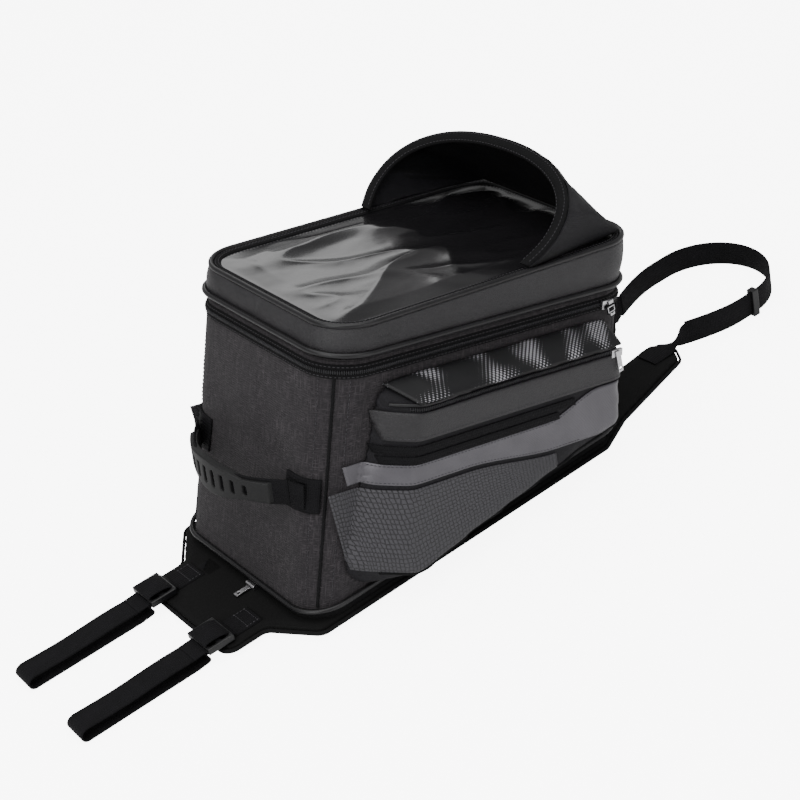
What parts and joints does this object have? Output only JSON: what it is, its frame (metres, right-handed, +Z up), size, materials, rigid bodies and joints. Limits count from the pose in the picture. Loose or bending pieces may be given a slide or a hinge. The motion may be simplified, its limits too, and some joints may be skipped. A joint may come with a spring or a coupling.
{
  "type": "motorcycle tank bag",
  "caption": "Soft wedge-shaped tank bag with a zipped map lid, a folding hood, side pockets and a rear grab handle, on a padded harness with straps.",
  "frame": {"origin": "on the flat underside of the harness pad, where it lies on the tank, midway across", "axes": "+X forward, away from the rider; +Y to the left; +Z up out of the tank"},
  "size_m": [0.9658, 0.3282, 0.3183],
  "materials": {
    "pad_fabric": "black padded cloth",
    "grip_rubber": "matt grippy rubber",
    "binding_tape": "black woven tape",
    "zip_tape": "black woven tape",
    "zip_teeth": "black coil zip",
    "slider_metal": "worn nickel plate",
    "label_fabric": "plain black woven label",
    "webbing": "black polyester webbing",
    "buckle_plastic": "black moulded plastic",
    "woven_fabric": "dark grey heathered heavy cloth",
    "board_plastic": "black board",
    "piping_vinyl": "black piping, slight shine",
    "grip_moulding": "black soft moulding",
    "leather_vinyl": "black grained vinyl",
    "window_binding": "black tape",
    "clear_window": "clear vinyl, glossy and wrinkled",
    "ripstop": "black ripstop",
    "printed_fabric": null,
    "reflective_tape": "grey satin reflective tape",
    "embossed_foam": "grey moulded foam with a honeycomb relief"
  },
  "bodies": {
    "harness": {"harness_pad": "pad_fabric", "grip_liner": "grip_rubber", "pad_binding": "binding_tape", "base_zip_tape": "zip_tape", "blank_label": "label_fabric", "rear_strap_anchor_left": "webbing", "rear_strap_anchor_right": "webbing", "rear_buckle_left": "buckle_plastic", "rear_buckle_right": "buckle_plastic", "front_strap_tabs": "webbing"},
    "base_slider": {"base_zip_slider": "slider_metal"},
    "base_pull": {"base_zip_pull": "slider_metal"},
    "rear_strap_left": {"rear_strap_left": "webbing"},
    "rear_strap_right": {"rear_strap_right": "webbing"},
    "front_strap": {"front_strap": "webbing", "front_strap_keeper": "buckle_plastic"},
    "bag": {"rear_panel": "woven_fabric", "front_panel": "woven_fabric", "left_panel": "woven_fabric", "right_panel": "woven_fabric", "floor_board": "board_plastic", "bottom_piping": "piping_vinyl", "main_zip_teeth": "zip_teeth", "lid_hinge_tape": "binding_tape", "handle_tabs": "webbing", "right_pocket_shell": "ripstop", "right_pocket_band": "leather_vinyl", "right_reflective_strip": "reflective_tape", "right_embossed_panel": "embossed_foam", "right_pocket_teeth": "zip_teeth", "left_pocket_shell": "ripstop", "left_pocket_band": "leather_vinyl", "left_reflective_strip": "reflective_tape", "left_embossed_panel": "embossed_foam", "left_pocket_teeth": "zip_teeth"},
    "handle": {"handle_grip": "grip_moulding", "handle_webbing": "webbing"},
    "lid": {"lid_band": "leather_vinyl", "lid_board": "board_plastic", "window_rim": "window_binding", "map_window": "clear_window", "lid_top_piping": "piping_vinyl", "lid_lower_piping": "piping_vinyl", "hood_canopy": "ripstop"},
    "hood": {"hood_arch": "binding_tape"},
    "main_slider": {"main_zip_slider": "slider_metal"},
    "main_pull": {"main_zip_pull": "slider_metal", "main_zip_tag": "label_fabric"},
    "right_pocket_lid": {"right_pocket_lid": "printed_fabric"},
    "right_pocket_slider": {"right_pocket_slider": "slider_metal"},
    "right_pocket_pull": {"right_pocket_pull": "slider_metal"},
    "left_pocket_lid": {"left_pocket_lid": "printed_fabric"},
    "left_pocket_slider": {"left_pocket_slider": "slider_metal"},
    "left_pocket_pull": {"left_pocket_pull": "slider_metal"}
  },
  "joints": [
    {"name": "bag_tilt", "type": "hinge", "parent": "harness", "child": "bag", "pos_m": [0.19, 0, 0.0175], "axis": [0, 1, 0], "range_deg": [0, 35]},
    {"name": "base_zip_run", "type": "slide", "parent": "harness", "child": "base_slider", "axis": [0, 1, 0], "range_m": [-0.054, 0.09]},
    {"name": "base_pull_swing", "type": "hinge", "parent": "base_slider", "child": "base_pull", "pos_m": [-0.2309, -0.018, 0.0145], "axis": [0, 1, 0], "range_deg": [0, 60]},
    {"name": "rear_strap_left_swing", "type": "hinge", "parent": "harness", "child": "rear_strap_left", "pos_m": [-0.322, 0.054, 0.007], "axis": [0, 1, 0], "range_deg": [0, 60]},
    {"name": "rear_strap_right_swing", "type": "hinge", "parent": "harness", "child": "rear_strap_right", "pos_m": [-0.322, -0.054, 0.007], "axis": [0, 1, 0], "range_deg": [0, 60]},
    {"name": "front_strap_swing", "type": "hinge", "parent": "harness", "child": "front_strap", "pos_m": [0.333, 0, 0.008], "axis": [0, 1, 0], "range_deg": [-40, 0]},
    {"name": "handle_swing", "type": "hinge", "parent": "bag", "child": "handle", "pos_m": [-0.1884, 0, 0.13706], "axis": [0, 1, 0], "range_deg": [-24, 45]},
    {"name": "lid_open", "type": "hinge", "parent": "bag", "child": "lid", "pos_m": [0.23542, 0, 0.16883], "axis": [0, 1, 0], "range_deg": [0, 95]},
    {"name": "hood_fold", "type": "hinge", "parent": "lid", "child": "hood", "pos_m": [0.09266, 0, 0.25289], "axis": [0, 1, 0], "range_deg": [0, 34], "deforming": ["hood_canopy"]},
    {"name": "main_zip_run", "type": "slide", "parent": "bag", "child": "main_slider", "axis": [-0.9664, 0, 0.2571], "range_m": [0, 0.25]},
    {"name": "main_pull_swing", "type": "hinge", "parent": "main_slider", "child": "main_pull", "pos_m": [0.188, -0.1306, 0.17039], "axis": [0.9664, 0, -0.2571], "range_deg": [-60, 0]},
    {"name": "right_pocket_open", "type": "hinge", "parent": "bag", "child": "right_pocket_lid", "pos_m": [0.04, -0.1255, 0.18847], "axis": [-0.9664, 0, 0.2571], "range_deg": [0, 22]},
    {"name": "right_pocket_zip_run", "type": "slide", "parent": "bag", "child": "right_pocket_slider", "axis": [-0.9664, 0, 0.2571], "range_m": [0, 0.21]},
    {"name": "right_pocket_pull_swing", "type": "hinge", "parent": "right_pocket_slider", "child": "right_pocket_pull", "pos_m": [0.161, -0.1634, 0.13657], "axis": [0.9664, 0, -0.2571], "range_deg": [-60, 0]},
    {"name": "left_pocket_open", "type": "hinge", "parent": "bag", "child": "left_pocket_lid", "pos_m": [0.04, 0.1255, 0.18847], "axis": [0.9664, 0, -0.2571], "range_deg": [0, 22]},
    {"name": "left_pocket_zip_run", "type": "slide", "parent": "bag", "child": "left_pocket_slider", "axis": [-0.9664, 0, 0.2571], "range_m": [0, 0.21]},
    {"name": "left_pocket_pull_swing", "type": "hinge", "parent": "left_pocket_slider", "child": "left_pocket_pull", "pos_m": [0.161, 0.1634, 0.13657], "axis": [-0.9664, 0, 0.2571], "range_deg": [-60, 0]}
  ]
}
